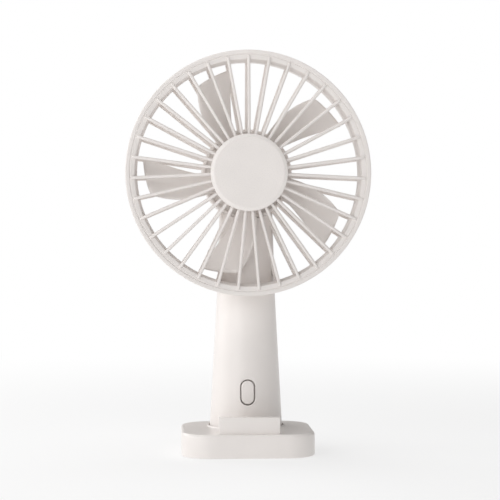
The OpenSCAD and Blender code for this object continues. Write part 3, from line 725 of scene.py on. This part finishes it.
rear_shell = handle_half("handle_rear", HANDLE_Y + SEAM, HANDLE_Y + HALF_DEPTH)
pod_outline = filleted([(0, CUP_BACK, 0), (0, -HANDLE_Y - SEAM, 0), (CUP_R, -HANDLE_Y - SEAM, 0),
                        (CUP_R, CUP_BACK, 3.0)], 8)
rear_shell = combine(rear_shell, lathe("pod", pod_outline, 192, on_axis), "UNION")
rear_shell = combine(rear_shell, handle_cavity(), "DIFFERENCE")
rear_shell = combine(rear_shell, axis_disc("hollow", CUP_R - WALL, CUP_BACK + WALL, 0), "DIFFERENCE")

SCREW_AT = ((0, 12.0), (10.6, 33.2), (-10.6, 33.2))
SCREW_R, HEAD_HOLE_R, HEAD_SEAT = 1.1, 2.1, HANDLE_Y + 6
OUTSIDE_Y = HANDLE_Y + 20
for x, z in SCREW_AT:
    boss = y_disc("boss", HEAD_HOLE_R + 1, x, z, HANDLE_Y + SEAM, OUTSIDE_Y)
    boss = combine(boss, column("inside", 0.1 - WALL, FOOT_Z, WAIST_Z), "INTERSECT")
    rear_shell = combine(rear_shell, boss, "UNION")
    for radius, start in ((SCREW_R, HANDLE_Y - 1), (HEAD_HOLE_R, HEAD_SEAT)):
        rear_shell = combine(rear_shell, y_disc("bore", radius, x, z, start, OUTSIDE_Y), "DIFFERENCE")

PORT_Z = (port_low.z + port_high.z) / 2
PORT_ROOM = 0.4
port_outline = [(up, across) for across, up in
                pill(port_high.z - port_low.z + PORT_ROOM, port_high.x - port_low.x + PORT_ROOM)]
port_hole = prism("port", port_outline, HANDLE_Y + 12, OUTSIDE_Y, facing(PORT_Z))
rear_shell = combine(rear_shell, port_hole, "DIFFERENCE")
soften(rear_shell, 0.2)
piece(rear_shell, "fan", SHELL, ["handle_rear_shell"])

# the button's rounded front as (inset, depth behind its face), then its flange behind the shell
BUTTON_EDGE = ((0.45, 0.0), (0.2, 0.06), (0.06, 0.2), (0.0, 0.45), (0.0, 3.1))
FLANGE_OVER = 2.1
rings = []
for inset, depth in BUTTON_EDGE:
    outline = pill(BUTTON_W - 2 * BUTTON_GAP - 2 * inset, BUTTON_H - 2 * BUTTON_GAP - 2 * inset)
    rings.append([(x, button_low.y + depth, BUTTON_Z + up) for x, up in outline])
flange = pill(BUTTON_W + FLANGE_OVER, BUTTON_H + FLANGE_OVER)
for y in (HANDLE_Y - 12.8, HANDLE_Y - 12.0):
    rings.append([(x, y, BUTTON_Z + up) for x, up in flange])
button = loft("button_cap", rings)
piece(button, "button", BUTTON, ["power_button"])


# ---------------------------------------------------------------- stand

STAND_W, STAND_D = stand_high.x * 2, stand_high.y * 2
STAND_H, STAND_BOTTOM, CORNER, EDGE = 10.8, stand_low.z, 13.5, 1.4
SKIN = 2
SOCKET_R = FOOT_R + 0.2
SOCKET_OUT = SOCKET_R + 1.8
SOCKET_LOW, SOCKET_FLOOR = 2.2, 3.25
COLLAR_IN, COLLAR_OUT, COLLAR_H = SOCKET_R - 1, SOCKET_R + 1.0, 0.8
LIP_W, LIP_T, LIP_Z = 27.3, 4.5, stand_high.z
LIP_FRONT = -(STAND_D / 2 - 2.8)


def rounded_rect(width, depth, radius, steps=14):
    """A rectangle with round corners, centred on (0, 0)."""
    out = []
    for sx, sy, start in ((1, 1, 0), (-1, 1, 90), (-1, -1, 180), (1, -1, 270)):
        for i in range(steps + 1):
            a = math.radians(start + 90 * i / steps)
            out.append((sx * (width / 2 - radius) + radius * math.cos(a),
                        sy * (depth / 2 - radius) + radius * math.sin(a)))
    return out


def stand_ring(inset, z):
    """The base's outline at a height, drawn in by a distance."""
    return [(x, y, z) for x, y in rounded_rect(STAND_W - 2 * inset, STAND_D - 2 * inset, CORNER - inset)]


levels = [(0.35, STAND_BOTTOM), (0.1, STAND_BOTTOM + 0.1), (0, STAND_BOTTOM + 0.35)]
for a in range(0, 91, 10):
    t = math.radians(a)
    levels.append((EDGE * (1 - math.cos(t)), STAND_H - EDGE + EDGE * math.sin(t)))
stand = loft("stand_base", [stand_ring(i, z) for i, z in levels])
hollow = loft("hollow", [stand_ring(SKIN, z) for z in (STAND_BOTTOM - 1, STAND_H - SKIN)])
stand = combine(stand, hollow, "DIFFERENCE")

socket_outline = filleted([
    (0, SOCKET_LOW, 0), (0, STAND_H - 0.5, 0), (SOCKET_R + 0.9, STAND_H - 0.5, 0),
    (SOCKET_OUT, STAND_H - 1.6, 0), (SOCKET_OUT, SOCKET_LOW, 0.3)])
stand = combine(stand, lathe("socket", socket_outline, 192, about_handle), "UNION")

collar = [(COLLAR_IN, STAND_H - 1.0), (COLLAR_OUT, STAND_H - 1.0), (COLLAR_OUT, STAND_H)]
for a in range(15, 91, 15):
    t = math.radians(a)
    collar.append((COLLAR_OUT - COLLAR_H * math.sin(t), STAND_H + COLLAR_H * (1 - math.cos(t))))
collar.append((COLLAR_IN, STAND_H + COLLAR_H))
stand = combine(stand, lathe("collar", collar, 192, about_handle), "UNION")

lip_outline = [(-LIP_W / 2, STAND_H - 1), (LIP_W / 2, STAND_H - 1), (LIP_W / 2, LIP_Z), (-LIP_W / 2, LIP_Z)]
lip = prism("lip", lip_outline, LIP_FRONT, LIP_FRONT + LIP_T, facing(0))
soften(lip, 0.3, 60, 4)
stand = combine(stand, lip, "UNION")
well_outline = [(0, SOCKET_FLOOR), (0, 30), (SOCKET_R, 30), (SOCKET_R, SOCKET_FLOOR)]
stand = combine(stand, lathe("well", well_outline, 192, about_handle), "DIFFERENCE")
piece(stand, "stand", SHELL, ["stand_body"])

FOOT_PAD_R = 4.5
FEET_AT = ((20, -17.5), (-20, -17.5), (20, 17.5), (-20, 17.5))
pad_outline = filleted([(0, 0, 0), (0, feet_top, 0), (FOOT_PAD_R, feet_top, 0), (FOOT_PAD_R, 0, 0.15)], 4)
feet = [lathe("foot", pad_outline, 48, lambda a, b, z, x=x, y=y: (x + a, y + b, z)) for x, y in FEET_AT]
piece(joined("stand_foot_pads", feet), "stand", RUBBER, ["stand_feet"])


# ---------------------------------------------------------------- floor, light, camera, in metres

def stage_material():
    """Pale floor near the object that fades to the backdrop's white far away."""
    material = bpy.data.materials.new("pale_floor")
    material.use_nodes = True
    tree = material.node_tree
    make, link = tree.nodes.new, tree.links.new
    shader = next(n for n in tree.nodes if n.type == "BSDF_PRINCIPLED")
    output = next(n for n in tree.nodes if n.type == "OUTPUT_MATERIAL")
    shader.inputs["Base Color"].default_value = (0.93, 0.93, 0.93, 1)
    shader.inputs["Roughness"].default_value = 0.9
    shader.inputs["Specular IOR Level"].default_value = 0.1
    where = make("ShaderNodeTexCoord")
    length = make("ShaderNodeVectorMath")
    length.operation = "LENGTH"
    link(where.outputs["Object"], length.inputs[0])
    fade = make("ShaderNodeMapRange")
    fade.interpolation_type = "SMOOTHSTEP"
    fade.inputs["From Min"].default_value = 0.12
    fade.inputs["From Max"].default_value = 0.6
    fade.inputs["To Min"].default_value = 0.6
    link(length.outputs["Value"], fade.inputs["Value"])
    glow = make("ShaderNodeEmission")
    glow.inputs["Color"].default_value = (1, 1, 1, 1)
    glow.inputs["Strength"].default_value = 1.0
    mix = make("ShaderNodeMixShader")
    link(fade.outputs["Result"], mix.inputs["Fac"])
    link(shader.outputs["BSDF"], mix.inputs[1])
    link(glow.outputs["Emission"], mix.inputs[2])
    link(mix.outputs["Shader"], output.inputs["Surface"])
    return material


FLOOR_RADII = (0.05, 0.2, 0.5, 1.0, 3.0, 12.0)
FLOOR_STEPS = 64
INNERMOST = 0.06
floor_angles = [2 * math.pi * i / FLOOR_STEPS for i in range(FLOOR_STEPS)]
floor_rings = [[(r / MM * math.cos(a), r / MM * math.sin(a), 0) for a in floor_angles]
               for r in FLOOR_RADII]
floor = loft("floor", floor_rings, close_ends=False)
bm = bmesh.new()
bm.from_mesh(floor.data)
inner_edges = [e for e in bm.edges if e.is_boundary and e.verts[0].co.length < INNERMOST]
bmesh.ops.contextual_create(bm, geom=inner_edges)
bmesh.ops.recalc_face_normals(bm, faces=bm.faces)
if bm.faces[0].normal.z < 0:
    bmesh.ops.reverse_faces(bm, faces=bm.faces)
bm.to_mesh(floor.data)
bm.free()
floor.data.materials.append(stage_material())

# the camera sees a white backdrop; the object gets only a dim, slightly warm fill from it
world = bpy.data.worlds.new("studio")
bpy.context.scene.world = world
world.use_nodes = True
tree = world.node_tree
tree.nodes.clear()
out = tree.nodes.new("ShaderNodeOutputWorld")
seen = tree.nodes.new("ShaderNodeBackground")
seen.inputs["Color"].default_value = (1, 1, 1, 1)
seen.inputs["Strength"].default_value = 1.0
fill = tree.nodes.new("ShaderNodeBackground")
fill.inputs["Color"].default_value = (1.0, 0.995, 0.985, 1)
fill.inputs["Strength"].default_value = 0.18
path = tree.nodes.new("ShaderNodeLightPath")
choose = tree.nodes.new("ShaderNodeMixShader")
tree.links.new(path.outputs["Is Camera Ray"], choose.inputs["Fac"])
tree.links.new(fill.outputs["Background"], choose.inputs[1])
tree.links.new(seen.outputs["Background"], choose.inputs[2])
tree.links.new(choose.outputs["Shader"], out.inputs["Surface"])

MIDDLE = Vector((0, 0, 0.1))


def softbox(name, place, size, power):
    """A rectangular light of so many watts that points at the middle of the object."""
    data = bpy.data.lights.new(name, "AREA")
    data.shape = "RECTANGLE"
    data.size, data.size_y = size
    data.energy = power
    lamp = bpy.data.objects.new(name, data)
    lamp.location = place
    lamp.rotation_euler = (MIDDLE - Vector(place)).to_track_quat("-Z", "Y").to_euler()
    bpy.context.scene.collection.objects.link(lamp)


softbox("left", (-0.9, -0.15, 0.30), (0.7, 0.7), 2.1)
softbox("left_front", (-0.7, -0.75, 0.6), (0.6, 0.6), 1.9)
softbox("left_back", (-1.0, 0.35, 0.35), (0.7, 0.7), 2.0)
softbox("front", (0.1, -1.1, 0.6), (0.8, 0.6), 2.2)
softbox("low_front", (-0.6, -0.9, 0.12), (0.7, 0.2), 1.0)
softbox("above", (0, 0.1, 1.2), (0.9, 0.9), 6.5)
softbox("back_left", (-0.6, 0.8, 0.5), (0.6, 0.6), 2.4)

YAW, PITCH = math.radians(3.2), math.radians(0.34)
camera_data = bpy.data.cameras.new("camera")
camera_data.sensor_width = 36.0
camera_data.lens = 108.56
camera_data.clip_start, camera_data.clip_end = 0.01, 50.0
camera = bpy.data.objects.new("camera", camera_data)
camera.location = (-0.03716, -0.6916, 0.09652)
forward = Vector((math.sin(YAW) * math.cos(PITCH), math.cos(YAW) * math.cos(PITCH), -math.sin(PITCH)))
camera.rotation_euler = forward.to_track_quat("-Z", "Y").to_euler()
bpy.context.scene.collection.objects.link(camera)
bpy.context.scene.camera = camera
bpy.context.scene.view_settings.view_transform = "Standard"
bpy.context.scene.view_settings.look = "None"
